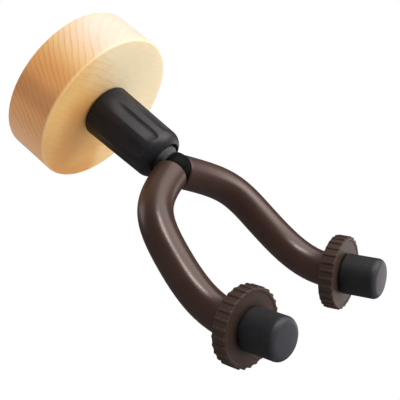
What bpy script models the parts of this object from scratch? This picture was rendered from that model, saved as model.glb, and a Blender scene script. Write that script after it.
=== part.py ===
"""Wall guitar hanger: a round wooden base, a fluted boot and a swivelling padded yoke.

Frame: +Z up, -Y away from the wall, +X to the right of someone facing the wall.
The origin is the centre of the base's back face, so the wall is the plane Y = 0.
"Forward" (f) below is the distance from the wall, so y = -f.
Run with: blender --background --python part.py
"""

import math

import bmesh
import bpy
from mathutils import Matrix, Vector

MM = 0.001

# ---------------------------------------------------------------- dimensions, mm
GAP = 0.3  # clearance between pieces that touch

BASE_R, BASE_T, BASE_EDGE = 40.0, 25.0, 0.9
BASE_BORE_R = 7.0
PLATE_R, PLATE_T = 27.0, 2.0
NUT_POCKET_R, NUT_POCKET_F = 11.2, 15.3  # pocket for the lock nut, depth from the back

KEYHOLE_X = 18.6  # keyholes left and right of the centre
KEYHOLE_ENTRY_R, KEYHOLE_SLOT_R = 4.6, 2.4  # pass a 9 mm head, hold a 4.5 mm shank
KEYHOLE_ENTRY_Z, KEYHOLE_SLOT_Z = -4.5, 5.0
HEAD_POCKET_R, HEAD_POCKET_F = 5.2, 9.0  # room behind the plate for the screw heads

PLATE_SCREW_XZ = 15.6
PLATE_SCREW_R, PLATE_SCREW_HEAD_R, PLATE_SCREW_LENGTH = 1.7, 3.4, 12.0

SHAFT_R, THREAD_R = 5.0, 4.0  # 10 mm shank, M8 thread
SHAFT_BACK_F, THREAD_END_F, SHAFT_FRONT_F = 3.0, 12.6, 68.2
BUSH_R, BUSH_FLANGE_R, BUSH_FLANGE_T = 6.7, 10.4, 1.5
CORE_R, CORE_FRONT_F = 8.0, 61.5
THRUST_R, THRUST_T = 7.9, 1.5
NUT_FLATS, NUT_T = 13.0, 6.0
WASHER_R, WASHER_T = 9.0, 1.5

BOOT_BACK_R, BOOT_SHOULDER_R, BOOT_FRONT_F = 13.7, 12.8, 67.4
BOOT_FILLET, BOOT_FOOT = 6.0, 0.9
BOOT_BORE_R = 8.3
FLUTES, FLUTE_PHASE = 8, 38.0  # first flute this many degrees from the top, to the left
FLUTE_WIDTH, FLUTE_DEPTH, FLUTE_FRONT_F = 6.4, 0.9, 62.5

NECK_R, NECK_FRONT_F, HUB_R = 7.4, 69.0, 8.1
SOCKET_S, SOCKET_R = 2.7, 4.3  # where each arm's weld seat starts, along the arm

ROD_R, SLEEVE_R, SLEEVE_BORE_R, SLEEVE_START_S = 4.0, 8.2, 4.3, 3.9
ROD_START_S = 3.0

# The right arm's centre line, hub to disc: (x, f, z) control points of a clamped cubic spline.
ARM_POINTS = (
    (5.9, 76.3, -2.4),  # leaves the hub, nearly sideways
    (17.9, 81.0, -5.0),
    (31.3, 90.0, -6.9),  # outer bend, turning forward
    (35.4, 108.5, -12.9),
    (38.6, 133.4, -19.3),  # lowest point, under the headstock
)
TIP = (39.95, 154.15, -12.9)  # back face of the stop disc
TIP_OUT, TIP_UP = 0.125, 0.494  # the tip's direction: outward and upward, radians
TIP_RUN = 7.6

DISC_T, DISC_TEETH = 7.0, 28
DISC_TOOTH_R, DISC_ROOT_R, DISC_LIP_R, DISC_LIP_T = 17.9, 16.8, 17.3, 1.4
DISC_TOOTH_SHARE = 0.36  # of the pitch
DISC_BORE_R = 4.3

CAP_R, CAP_LENGTH, CAP_FILLET, CAP_BORE_DEPTH = 9.7, 18.2, 4.2, 13.0
RING_R, RING_T = 6.4, 1.0
CAP_SEAT_R, CAP_SEAT_DEPTH = 6.8, 1.6

# ---------------------------------------------------------------- scene

for old in list(bpy.data.objects):
    bpy.data.objects.remove(old, do_unlink=True)

parts = bpy.data.collections.new("wall_guitar_hanger")
cutters = bpy.data.collections.new("cutters")
for made in (parts, cutters):
    bpy.context.scene.collection.children.link(made)
cutters.hide_render = True


def material(name, colour, roughness, metallic=0.0):
    made = bpy.data.materials.new(name)
    made.use_nodes = True
    shader = made.node_tree.nodes["Principled BSDF"]
    shader.inputs["Base Color"].default_value = (*colour, 1.0)
    shader.inputs["Roughness"].default_value = roughness
    shader.inputs["Metallic"].default_value = metallic
    return made


WOOD = material("pale_wood", (0.80, 0.60, 0.34), 0.45)
BLACK = material("black_moulding", (0.030, 0.030, 0.033), 0.5)
HUB = material("blackened_steel", (0.035, 0.035, 0.038), 0.4, 0.6)
BROWN = material("brown_rubber", (0.105, 0.060, 0.046), 0.5)
CHARCOAL = material("charcoal_rubber", (0.045, 0.046, 0.052), 0.65)
STEEL = material("bright_steel", (0.62, 0.62, 0.64), 0.3, 1.0)
ZINC = material("zinc_plate", (0.55, 0.57, 0.60), 0.4, 1.0)
NYLON = material("white_nylon", (0.80, 0.79, 0.75), 0.5)

swivel = bpy.data.objects.new("swivel_axis", None)  # the yoke turns about this Y axis
parts.objects.link(swivel)

# Local +Z of a turned piece points forward, away from the wall.
FORWARD = Matrix.Rotation(math.pi / 2, 4, "X")


# ---------------------------------------------------------------- shape helpers


def part(name, data, paint, matrix=None, parent=None):
    made = bpy.data.objects.new(name, data)
    parts.objects.link(made)
    if data.materials:
        data.materials[0] = paint
    else:
        data.materials.append(paint)
    made.parent = parent
    made.matrix_local = matrix or Matrix()
    return made


def cutter(name, data, matrix=None):
    made = bpy.data.objects.new(name, data)
    cutters.objects.link(made)
    made.hide_render = True
    made.display_type = "WIRE"
    made.matrix_local = matrix or Matrix()
    return made


def profile_mesh(name, points, closed):
    """A turning profile in the XZ plane, from (radius, height) points in mm."""
    mesh = bpy.data.meshes.new(name)
    shape = bmesh.new()
    row = [shape.verts.new((r * MM, 0.0, h * MM)) for r, h in points]
    for a, b in zip(row, row[1:]):
        shape.edges.new((a, b))
    if closed:
        shape.edges.new((row[-1], row[0]))
    shape.to_mesh(mesh)
    shape.free()
    return mesh


def turn(piece, steps):
    spin = piece.modifiers.new("turn", "SCREW")
    spin.axis = "Z"
    spin.angle = 2 * math.pi
    spin.steps = spin.render_steps = steps
    spin.use_merge_vertices = True
    spin.merge_threshold = 0.00001
    spin.use_smooth_shade = True
    return piece


def cut(piece, *tools, operation="DIFFERENCE"):
    for tool in tools:
        boolean = piece.modifiers.new(tool.name, "BOOLEAN")
        boolean.operation = operation
        boolean.solver = "EXACT"
        boolean.object = tool
    return piece


def arc(centre_r, centre_h, radius, start, end, count):
    """Points of an arc in a turning profile. Angles in degrees, 0 outward, 90 towards +h."""
    return [
        (
            centre_r + radius * math.cos(math.radians(start + (end - start) * i / count)),
            centre_h + radius * math.sin(math.radians(start + (end - start) * i / count)),
        )
        for i in range(count + 1)
    ]


def circle(x, y, radius, count, start=0.0):
    return [
        (
            x + radius * math.cos(start + 2 * math.pi * i / count),
            y + radius * math.sin(start + 2 * math.pi * i / count),
        )
        for i in range(count)
    ]


def meshed(curve_object, name):
    """The curve's evaluated shape as a closed mesh, and the curve removed."""
    bpy.context.scene.collection.objects.link(curve_object)
    bpy.context.view_layer.update()
    graph = bpy.context.evaluated_depsgraph_get()
    mesh = bpy.data.meshes.new_from_object(curve_object.evaluated_get(graph))
    mesh.name = name
    mesh.materials.clear()
    shape = bmesh.new()
    shape.from_mesh(mesh)
    bmesh.ops.remove_doubles(shape, verts=shape.verts, dist=0.000002)
    bmesh.ops.recalc_face_normals(shape, faces=shape.faces)
    shape.to_mesh(mesh)
    shape.free()
    bpy.data.objects.remove(curve_object, do_unlink=True)
    return mesh


def slab(name, loops, bottom, top):
    """A flat outline with its holes, in mm, from height bottom to top."""
    curve = bpy.data.curves.new(name, "CURVE")
    curve.dimensions = "2D"
    curve.fill_mode = "BOTH"
    curve.extrude = (top - bottom) * MM / 2
    for loop in loops:
        spline = curve.splines.new("POLY")
        spline.points.add(len(loop) - 1)
        for point, (x, y) in zip(spline.points, loop):
            point.co = (x * MM, y * MM, 0.0, 1.0)
        spline.use_cyclic_u = True
    mesh = meshed(bpy.data.objects.new(name + "_outline", curve), name)
    mesh.transform(Matrix.Translation((0, 0, (top + bottom) * MM / 2)))
    return mesh


def cylinder_mesh(name, radius, bottom, top, segments, top_radius=None):
    mesh = bpy.data.meshes.new(name)
    shape = bmesh.new()
    bmesh.ops.create_cone(
        shape,
        cap_ends=True,
        segments=segments,
        radius1=radius * MM,
        radius2=(radius if top_radius is None else top_radius) * MM,
        depth=(top - bottom) * MM,
        matrix=Matrix.Translation((0, 0, (top + bottom) * MM / 2)),
    )
    shape.to_mesh(mesh)
    shape.free()
    return mesh


def smooth(piece, degrees=32):
    mesh = piece.data
    if mesh.polygons:
        mesh.shade_smooth()
        mesh.set_sharp_from_angle(angle=math.radians(degrees))
    return piece


# ---------------------------------------------------------------- the arms' centre line


def spline_point(controls, knots, u, degree=3):
    """De Boor's construction of a B-spline point."""
    last = len(controls) - 1
    span = max(i for i in range(degree, last + 1) if knots[i] <= u)
    row = [controls[span - degree + i].copy() for i in range(degree + 1)]
    for level in range(1, degree + 1):
        for i in range(degree, level - 1, -1):
            low, high = knots[span - degree + i], knots[span + 1 + i - level]
            share = (u - low) / (high - low)
            row[i] = row[i - 1] * (1 - share) + row[i] * share
    return row[degree]


def along(x, f, z):
    """A point given as (x, forward, z) in the row's frame, in mm."""
    return Vector((x, -f, z))


tip_way = along(
    math.sin(TIP_OUT) * math.cos(TIP_UP),
    math.cos(TIP_OUT) * math.cos(TIP_UP),
    math.sin(TIP_UP),
)
tip = along(*TIP)
controls = [along(*point) for point in ARM_POINTS] + [tip - tip_way * TIP_RUN, tip]
spans = len(controls) - 3
knots = [0.0] * 3 + [i / spans for i in range(spans + 1)] + [1.0] * 3
root_way = (controls[1] - controls[0]).normalized()
hub_centre = controls[0] - root_way * (controls[0].x / root_way.x)  # on the plane X = 0


def arm_line(start_s, beyond, count=18):
    """Points from start_s past the hub's centre to `beyond` past the disc's back face."""
    middle = [spline_point(controls, knots, i / count) for i in range(count)]
    points = [hub_centre + root_way * start_s] + middle
    if beyond < 0:
        return points + [tip - tip_way * 1.5, tip + tip_way * beyond]
    return points + [tip, tip + tip_way * beyond]


def mirrored(point, side):
    return Vector((point.x * side, point.y, point.z))


def pipe(name, points, radius, resolution, caps):
    curve = bpy.data.curves.new(name, "CURVE")
    curve.dimensions = "3D"
    curve.bevel_depth = radius * MM
    curve.bevel_resolution = resolution
    curve.use_fill_caps = caps
    spline = curve.splines.new("POLY")
    spline.points.add(len(points) - 1)
    for point, place in zip(spline.points, points):
        point.co = (*(place * MM), 1.0)
    return curve


def pointing(place, way):
    """A matrix at place, in mm, with its local +Z along way."""
    return Matrix.Translation(place * MM) @ way.to_track_quat("Z", "Y").to_matrix().to_4x4()


# ---------------------------------------------------------------- base and wall plate

base = turn(
    part(
        "wood_base",
        profile_mesh(
            "wood_base",
            [(BASE_BORE_R, BASE_T)]
            + arc(BASE_R - BASE_EDGE, BASE_T - BASE_EDGE, BASE_EDGE, 90, 0, 4)
            + arc(BASE_R - 0.4, 0.4, 0.4, 0, -90, 2)
            + [
                (PLATE_R + GAP, 0.0),
                (PLATE_R + GAP, PLATE_T + GAP),
                (NUT_POCKET_R, PLATE_T + GAP),
                (NUT_POCKET_R, NUT_POCKET_F),
                (BASE_BORE_R, NUT_POCKET_F),
            ],
            True,
        ),
        WOOD,
        FORWARD,
    ),
    72,
)


def stadium(x, low, high, radius, count=12):
    """A vertical slot's outline. The plate's own Y is the row's Z."""
    up = [
        (x + radius * math.cos(math.pi * i / count), high + radius * math.sin(math.pi * i / count))
        for i in range(count + 1)
    ]
    down = [
        (x - radius * math.cos(math.pi * i / count), low - radius * math.sin(math.pi * i / count))
        for i in range(count + 1)
    ]
    return up + down


def keyhole(x):
    """A round entry below a narrower slot that ends in a half circle."""
    meet = math.asin(KEYHOLE_SLOT_R / KEYHOLE_ENTRY_R)
    first, sweep = math.pi / 2 + meet, 2 * math.pi - 2 * meet
    entry = [
        (
            x + KEYHOLE_ENTRY_R * math.cos(first + sweep * i / 20),
            KEYHOLE_ENTRY_Z + KEYHOLE_ENTRY_R * math.sin(first + sweep * i / 20),
        )
        for i in range(21)
    ]
    top = [
        (
            x + KEYHOLE_SLOT_R * math.cos(math.pi * i / 8),
            KEYHOLE_SLOT_Z + KEYHOLE_SLOT_R * math.sin(math.pi * i / 8),
        )
        for i in range(9)
    ]
    return entry + top


screw_places = [
    (sx * PLATE_SCREW_XZ, sz * PLATE_SCREW_XZ) for sx, sz in ((-1, 1), (1, 1), (1, -1), (-1, -1))
]
for side in (-1, 1):
    pocket = slab(
        "head_pocket",
        [stadium(side * KEYHOLE_X, KEYHOLE_ENTRY_Z, KEYHOLE_SLOT_Z, HEAD_POCKET_R)],
        PLATE_T - 0.5,
        HEAD_POCKET_F,
    )
    cut(base, cutter("cut_head_pocket", pocket, FORWARD))

plate = part(
    "wall_plate",
    slab(
        "wall_plate",
        [circle(0, 0, PLATE_R, 48), keyhole(-KEYHOLE_X), keyhole(KEYHOLE_X)],
        0.0,
        PLATE_T,
    ),
    ZINC,
    FORWARD,
)

# A countersunk screw: 90 degree head, round shank with a point, and a straight slot.
head_depth = PLATE_SCREW_HEAD_R - PLATE_SCREW_R
screw_profile = [
    (0.0, PLATE_SCREW_LENGTH),
    (PLATE_SCREW_R * 0.3, PLATE_SCREW_LENGTH - 0.6),
    (PLATE_SCREW_R, PLATE_SCREW_LENGTH - 3.0),
    (PLATE_SCREW_R, head_depth + 0.5),
    (PLATE_SCREW_HEAD_R, 0.5),
    (PLATE_SCREW_HEAD_R, 0.2),
    (0.0, 0.2),
]
sink_profile = [
    (0.0, PLATE_T + 1.0),
    (PLATE_SCREW_R + GAP, PLATE_T + 1.0),
    (PLATE_SCREW_R + GAP, head_depth + 0.5),
    (PLATE_SCREW_HEAD_R + GAP, 0.5),
    (PLATE_SCREW_HEAD_R + GAP, -1.0),
    (0.0, -1.0),
]
for number, (x, z) in enumerate(screw_places, 1):
    spot = Matrix.Translation((x * MM, 0, z * MM)) @ FORWARD
    sink = turn(cutter(f"cut_sink_{number}", profile_mesh("sink", sink_profile, False), spot), 16)
    hole = cutter(
        f"cut_pilot_{number}",
        cylinder_mesh("pilot", PLATE_SCREW_R + GAP, 1.0, PLATE_SCREW_LENGTH + 0.5, 12),
        spot,
    )
    driver = bpy.data.meshes.new("driver_slot")
    block = bmesh.new()
    bmesh.ops.create_cube(block, size=1.0)
    bmesh.ops.scale(block, vec=(8 * MM, 0.8 * MM, 1.6 * MM), verts=block.verts)
    block.to_mesh(driver)
    block.free()
    slot = cutter(f"cut_driver_{number}", driver, spot)
    cut(plate, sink)
    cut(base, hole)
    cut(
        turn(
            part(f"plate_screw_{number}", profile_mesh("plate_screw", screw_profile, False), STEEL, spot),
            12,
        ),
        slot,
    )

# ---------------------------------------------------------------- boot and what it covers


def ring(name, inner, outer, back, front, paint, parent=None, steps=24, chamfer=0.0):
    """A turned washer, bush or tube between two distances from the wall."""
    c = chamfer
    rim = [(outer - c, front), (outer, front - c), (outer, back + c), (outer - c, back)]
    if not c:
        rim = [(outer, front), (outer, back)]
    profile = [(inner, front)] + rim + [(inner, back)]
    return turn(part(name, profile_mesh(name, profile, True), paint, FORWARD, parent), steps)


bush_back = NUT_POCKET_F - GAP - BUSH_FLANGE_T
turn(
    part(
        "base_bush",
        profile_mesh(
            "base_bush",
            [
                (SHAFT_R + GAP, BASE_T),
                (BUSH_R, BASE_T),
                (BUSH_R, NUT_POCKET_F - GAP),
                (BUSH_FLANGE_R, NUT_POCKET_F - GAP),
                (BUSH_FLANGE_R, bush_back),
                (SHAFT_R + GAP, bush_back),
            ],
            True,
        ),
        ZINC,
        FORWARD,
    ),
    24,
)
ring("core_tube", SHAFT_R + GAP, CORE_R, BASE_T + GAP, CORE_FRONT_F, STEEL, steps=28)

boot_back = BASE_T + GAP
shoulder_f = BOOT_FRONT_F - BOOT_FILLET
lip = math.degrees(math.acos((BOOT_BORE_R + 0.5 - (BOOT_SHOULDER_R - BOOT_FILLET)) / BOOT_FILLET))
boot = turn(
    part(
        "boot",
        profile_mesh(
            "boot",
            [(BOOT_BORE_R, BOOT_FRONT_F - 1.0)]
            + arc(BOOT_SHOULDER_R - BOOT_FILLET, shoulder_f, BOOT_FILLET, lip, 0, 8)
            + arc(BOOT_BACK_R - BOOT_FOOT, boot_back + BOOT_FOOT, BOOT_FOOT, 0, -90, 3)
            + [(BOOT_BORE_R, boot_back)],
            True,
        ),
        BLACK,
        FORWARD,
    ),
    48,
)

# Flutes: shallow channels with a round front end, open at the base.
flute_r = ((FLUTE_WIDTH / 2) ** 2 + FLUTE_DEPTH**2) / (2 * FLUTE_DEPTH)
flute_profile = (
    [(0.0, FLUTE_FRONT_F)]
    + arc(0.0, FLUTE_FRONT_F - flute_r, flute_r, 75, 0, 5)
    + [(flute_r, BASE_T - 2.0), (0.0, BASE_T - 2.0)]
)
taper = math.atan2(BOOT_BACK_R - BOOT_SHOULDER_R, shoulder_f - boot_back)
for number in range(FLUTES):
    turned_to = Matrix.Rotation(math.radians(FLUTE_PHASE + 360 / FLUTES * number), 4, "Z")
    lean = Matrix.Rotation(-taper, 4, "X")
    away = Matrix.Translation((0, (BOOT_BACK_R - FLUTE_DEPTH + flute_r) * MM, 0))
    foot = Matrix.Translation((0, 0, BASE_T * MM))
    matrix = FORWARD @ turned_to @ foot @ away @ lean.inverted() @ foot.inverted()
    channel = cutter(f"cut_flute_{number + 1}", profile_mesh("flute", flute_profile, False), matrix)
    cut(boot, turn(channel, 20))

# ---------------------------------------------------------------- swivelling shaft

turn(
    part(
        "swivel_shaft",
        profile_mesh(
            "swivel_shaft",
            [
                (0.0, SHAFT_FRONT_F),
                (SHAFT_R - 0.5, SHAFT_FRONT_F),
                (SHAFT_R, SHAFT_FRONT_F - 0.5),
                (SHAFT_R, THREAD_END_F + 1.0),
                (THREAD_R, THREAD_END_F),
                (THREAD_R, SHAFT_BACK_F + 0.8),
                (THREAD_R - 0.8, SHAFT_BACK_F),
                (0.0, SHAFT_BACK_F),
            ],
            False,
        ),
        STEEL,
        FORWARD,
        swivel,
    ),
    24,
)
spring_back = bush_back - GAP - 0.8
ring("rear_washer", THREAD_R + GAP, WASHER_R, spring_back - GAP - WASHER_T, spring_back - GAP, ZINC, swivel)
nut_front = spring_back - 2 * GAP - WASHER_T
spring = ring("spring_washer", SHAFT_R + GAP, 8.0, spring_back, bush_back - GAP, STEEL, swivel)
gap_cut = bpy.data.meshes.new("spring_gap")
block = bmesh.new()
bmesh.ops.create_cube(block, size=1.0)
bmesh.ops.scale(block, vec=(1.0 * MM, 6 * MM, 4 * MM), verts=block.verts)
bmesh.ops.translate(block, vec=(0, (SHAFT_R + 1.8) * MM, (spring_back + 0.4) * MM), verts=block.verts)
block.to_mesh(gap_cut)
block.free()
cut(spring, cutter("cut_spring_gap", gap_cut, FORWARD))  # a split ring
part(
    "lock_nut",
    slab(
        "lock_nut",
        [circle(0, 0, NUT_FLATS / math.sqrt(3), 6), circle(0, 0, THREAD_R + GAP, 24)],
        nut_front - NUT_T,
        nut_front,
    ),
    ZINC,
    FORWARD,
    swivel,
)
ring(
    "thrust_washer",
    SHAFT_R + GAP,
    THRUST_R,
    CORE_FRONT_F + GAP,
    CORE_FRONT_F + GAP + THRUST_T,
    NYLON,
    swivel,
    28,
)

# ---------------------------------------------------------------- hub: neck and knuckle

neck_back = CORE_FRONT_F + 2 * GAP + THRUST_T
hub_f = -hub_centre.y
waist = math.degrees(math.asin(5.6 / HUB_R))
hub = turn(
    part(
        "yoke_hub",
        profile_mesh(
            "yoke_hub",
            arc(0.0, hub_f, HUB_R, 90, waist - 90, 14)
            + [(NECK_R, NECK_FRONT_F - 1.8), (NECK_R, neck_back), (SHAFT_R + GAP, neck_back)]
            + [(SHAFT_R + GAP, SHAFT_FRONT_F + GAP), (0.0, SHAFT_FRONT_F + GAP)],
            False,
        ),
        HUB,
        FORWARD,
        swivel,
    ),
    32,
)
for side, name in ((-1, "left"), (1, "right")):
    way = mirrored(root_way, side)
    seat = hub_centre + way * (SLEEVE_START_S - GAP)
    cut(
        hub,
        cutter(
            f"cut_sleeve_seat_{name}",
            cylinder_mesh("sleeve_seat", SLEEVE_R + GAP, 0.0, 20.0, 28),
            pointing(seat, way),
        ),
        cutter(
            f"cut_rod_socket_{name}",
            cylinder_mesh("rod_socket", SOCKET_R, 0.0, 8.0, 16),
            pointing(hub_centre + way * SOCKET_S, way),
        ),
    )

# ---------------------------------------------------------------- arms, discs and caps


def toothed_outline():
    """Narrow teeth on the disc's edge, with wider grooves between them."""
    pitch = 2 * math.pi / DISC_TEETH
    points = []
    for number in range(DISC_TEETH):
        start = number * pitch
        for radius, share in (
            (DISC_TOOTH_R, 0.05),
            (DISC_TOOTH_R, DISC_TOOTH_SHARE - 0.05),
            (DISC_ROOT_R, DISC_TOOTH_SHARE),
            (DISC_ROOT_R, 1.0),
        ):
            points.append(
                (
                    radius * math.cos(start + share * pitch),
                    radius * math.sin(start + share * pitch),
                )
            )
    return points


disc_slab = slab(
    "toothed_disc",
    [toothed_outline(), circle(0, 0, DISC_BORE_R, 24)],
    0.0,
    DISC_T - DISC_LIP_T + 0.2,
)
lip_profile = [
    (DISC_BORE_R, DISC_T),
    (DISC_LIP_R - DISC_LIP_T * 0.8, DISC_T),
    (DISC_LIP_R, DISC_T - DISC_LIP_T * 0.8),
    (DISC_LIP_R, DISC_T - DISC_LIP_T),
    (DISC_BORE_R, DISC_T - DISC_LIP_T),
]
cap_profile = (
    [(0.0, CAP_LENGTH)]
    + arc(CAP_R - CAP_FILLET, CAP_LENGTH - CAP_FILLET, CAP_FILLET, 90, 0, 6)
    + [
        (CAP_R, 0.0),
        (CAP_SEAT_R, 0.0),
        (CAP_SEAT_R, CAP_SEAT_DEPTH),
        (ROD_R + GAP, CAP_SEAT_DEPTH),
        (ROD_R + GAP, CAP_BORE_DEPTH),
        (0.0, CAP_BORE_DEPTH),
    ]
)
ring_profile = [(ROD_R + GAP, RING_T + 0.3), (RING_R, RING_T + 0.3), (RING_R, 0.3), (ROD_R + GAP, 0.3)]

for side, name in ((-1, "left"), (1, "right")):
    way = mirrored(tip_way, side)
    end = mirrored(tip, side)
    cap_back = end + way * (DISC_T + GAP)

    rod_line = [mirrored(p, side) for p in arm_line(ROD_START_S, DISC_T + GAP + CAP_BORE_DEPTH - 0.5)]
    part(f"arm_rod_{name}", pipe(f"arm_rod_{name}", rod_line, ROD_R, 3, True), STEEL, None, swivel)

    sleeve_line = [mirrored(p, side) for p in arm_line(SLEEVE_START_S, -GAP)]
    sleeve = part(
        f"sleeve_{name}",
        pipe(f"sleeve_{name}", sleeve_line, SLEEVE_R, 6, False),
        BROWN,
        None,
        swivel,
    )
    wall = sleeve.modifiers.new("wall", "SOLIDIFY")
    wall.thickness = (SLEEVE_R - SLEEVE_BORE_R) * MM
    wall.offset = -1.0
    wall.use_rim = True

    disc = part(f"stop_disc_{name}", disc_slab.copy(), BROWN, pointing(end, way), swivel)
    lip_tool = turn(
        cutter(f"add_lip_{name}", profile_mesh("disc_lip", lip_profile, True), pointing(end, way)), 48
    )
    cut(disc, lip_tool, operation="UNION")

    turn(
        part(
            f"end_cap_{name}",
            profile_mesh("end_cap", cap_profile, False),
            CHARCOAL,
            pointing(cap_back, way),
            swivel,
        ),
        32,
    )
    turn(
        part(
            f"retaining_ring_{name}",
            profile_mesh("retaining_ring", ring_profile, True),
            STEEL,
            pointing(cap_back, way),
            swivel,
        ),
        24,
    )

for piece in parts.objects:
    if piece.type == "MESH":
        smooth(piece)
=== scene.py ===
"""Wall guitar hanger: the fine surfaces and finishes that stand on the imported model.

Lengths in the shape code are millimetres and become metres in `solid`. The row frame is +Z up, -Y away
from the wall, and "forward" (f) is the distance from the wall, so y = -f.
"""

import math

import bmesh
import bpy
import numpy as np
from mathutils import Matrix, Vector


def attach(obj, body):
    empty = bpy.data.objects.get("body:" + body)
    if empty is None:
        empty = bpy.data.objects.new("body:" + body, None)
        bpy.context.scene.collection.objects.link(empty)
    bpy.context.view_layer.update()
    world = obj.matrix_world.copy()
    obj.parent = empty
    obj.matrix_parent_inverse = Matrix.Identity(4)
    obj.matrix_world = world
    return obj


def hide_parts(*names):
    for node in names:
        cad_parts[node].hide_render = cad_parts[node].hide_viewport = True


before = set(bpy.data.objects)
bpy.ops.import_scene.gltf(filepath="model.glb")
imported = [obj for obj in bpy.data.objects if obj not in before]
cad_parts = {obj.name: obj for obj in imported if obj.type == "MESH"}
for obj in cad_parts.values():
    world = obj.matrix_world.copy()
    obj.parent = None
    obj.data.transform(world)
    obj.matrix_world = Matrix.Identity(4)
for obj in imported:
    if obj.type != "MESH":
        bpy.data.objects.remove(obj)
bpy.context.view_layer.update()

MM = 0.001
GAP = 0.3

# ---------------------------------------------------------------- the CAD's own dimensions, mm

BASE_R, BASE_T, BASE_BORE_R = 40.0, 25.0, 7.0
PLATE_R, PLATE_T = 27.0, 2.0
NUT_POCKET_R, NUT_POCKET_F = 11.2, 15.3
KEYHOLE_X, ENTRY_R, SLOT_R, ENTRY_Z, SLOT_Z = 18.6, 4.6, 2.4, -4.5, 5.0
HEAD_POCKET_R, HEAD_POCKET_F = 5.2, 9.0
PLATE_SCREW_XZ, SCREW_R, SCREW_HEAD_R, SCREW_LENGTH = 15.6, 1.7, 3.4, 12.0
SHAFT_R, THREAD_R, SHAFT_BACK_F, THREAD_END_F, SHAFT_FRONT_F = 5.0, 4.0, 3.0, 12.6, 68.2
BUSH_R, BUSH_FLANGE_R, BUSH_FLANGE_T = 6.7, 10.4, 1.5
CORE_R, CORE_FRONT_F, THRUST_R, THRUST_T = 8.0, 61.5, 7.9, 1.5
NUT_FLATS, NUT_T, WASHER_R, WASHER_T = 13.0, 6.0, 9.0, 1.5
BOOT_BACK_R, BOOT_SHOULDER_R, BOOT_FRONT_F, BOOT_FILLET, BOOT_BORE_R = 13.7, 12.8, 67.4, 6.0, 8.3
FLUTES, FLUTE_PHASE, FLUTE_DEPTH, FLUTE_FRONT_F = 8, 38.0, 0.9, 62.5
NECK_R, NECK_FRONT_F, HUB_R, SOCKET_S, SOCKET_R = 7.4, 69.0, 8.1, 2.7, 4.3
ROD_R, SLEEVE_R, SLEEVE_BORE_R, SLEEVE_START_S, ROD_START_S = 4.0, 8.2, 4.3, 3.9, 3.0
ARM_POINTS = (
    (5.9, 76.3, -2.4),
    (17.9, 81.0, -5.0),
    (31.3, 90.0, -6.9),
    (35.4, 108.5, -12.9),
    (38.6, 133.4, -19.3),
)
TIP, TIP_OUT, TIP_UP, TIP_RUN = (39.95, 154.15, -12.9), 0.125, 0.494, 7.6
DISC_T, TEETH, TOOTH_R, ROOT_R, DISC_BORE_R = 7.0, 28, 17.9, 16.8, 4.3
CAP_R, CAP_LENGTH, CAP_BORE_DEPTH = 9.7, 18.2, 13.0
RING_R, RING_T, CAP_SEAT_R, CAP_SEAT_DEPTH = 6.4, 1.0, 6.8, 1.6

FORWARD = Matrix.Rotation(math.pi / 2, 4, "X")  # local +Z becomes away from the wall

# ---------------------------------------------------------------- mesh tools


def skin(rings, loop=False, start=None, end=None):
    """Vertices and faces through rings of equal count. loop joins the last ring to the first;
    start and end are points that close the ends."""
    rings = np.asarray(rings, float)
    count, around, _ = rings.shape
    verts = [tuple(p) for p in rings.reshape(-1, 3)]
    faces = []
    for i in range(count if loop else count - 1):
        a, b = i * around, ((i + 1) % count) * around
        faces += [
            (a + j, a + (j + 1) % around, b + (j + 1) % around, b + j) for j in range(around)
        ]
    for point, row in ((start, 0), (end, count - 1)):
        if point is not None:
            verts.append(tuple(point))
            top, a = len(verts) - 1, row * around
            faces += [(a + j, a + (j + 1) % around, top) for j in range(around)]
    return verts, faces


def solid(name, verts, faces, matrix=None, sharp=None):
    """A closed mesh object in the row frame, from millimetres, with its faces pointing out."""
    mesh = bpy.data.meshes.new(name)
    shape = bmesh.new()
    made = [shape.verts.new((x * MM, y * MM, z * MM)) for x, y, z in verts]
    for face in faces:
        if len(set(face)) > 2:
            shape.faces.new([made[i] for i in face])
    bmesh.ops.remove_doubles(shape, verts=shape.verts, dist=1e-7)
    bmesh.ops.recalc_face_normals(shape, faces=shape.faces)
    shape.to_mesh(mesh)
    shape.free()
    if matrix is not None:
        mesh.transform(matrix)
    return finished(name, mesh, sharp)


def finished(name, mesh, sharp=None):
    mesh.shade_smooth()
    if sharp is not None:
        mesh.set_sharp_from_angle(angle=math.radians(sharp))
    made = bpy.data.objects.new(name, mesh)
    bpy.context.scene.collection.objects.link(made)
    return made


def rounded(points, count=4):
    """A closed outline with each corner (a, b, radius) rounded off by an arc."""
    done = []
    for i, corner in enumerate(points):
        here = np.array(corner[:2], float)
        radius = corner[2] if len(corner) > 2 else 0.0
        if radius <= 0:
            done.append(tuple(here))
            continue
        before = np.array(points[i - 1][:2], float) - here
        after = np.array(points[(i + 1) % len(points)][:2], float) - here
        before, after = before / np.linalg.norm(before), after / np.linalg.norm(after)
        half = math.acos(max(-1.0, min(1.0, float(before @ after)))) / 2
        reach = radius / math.tan(half)
        centre = here + (before + after) / np.linalg.norm(before + after) * radius / math.sin(half)
        first, last = here + before * reach - centre, here + after * reach - centre
        turn = math.atan2(first[0] * last[1] - first[1] * last[0], float(first @ last))
        for k in range(count + 1):
            c, s = math.cos(turn * k / count), math.sin(turn * k / count)
            done.append(
                (
                    centre[0] + first[0] * c - first[1] * s,
                    centre[1] + first[0] * s + first[1] * c,
                )
            )
    return done


def resampled(profile, longest):
    """The outline with its long sides divided, so that the shading and any relief stay even."""
    done = []
    for i, (a, b) in enumerate(profile):
        c, d = profile[(i + 1) % len(profile)]
        parts = max(1, math.ceil(math.hypot(c - a, d - b) / longest))
        done += [(a + (c - a) * k / parts, b + (d - b) * k / parts) for k in range(parts)]
    return done


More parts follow.
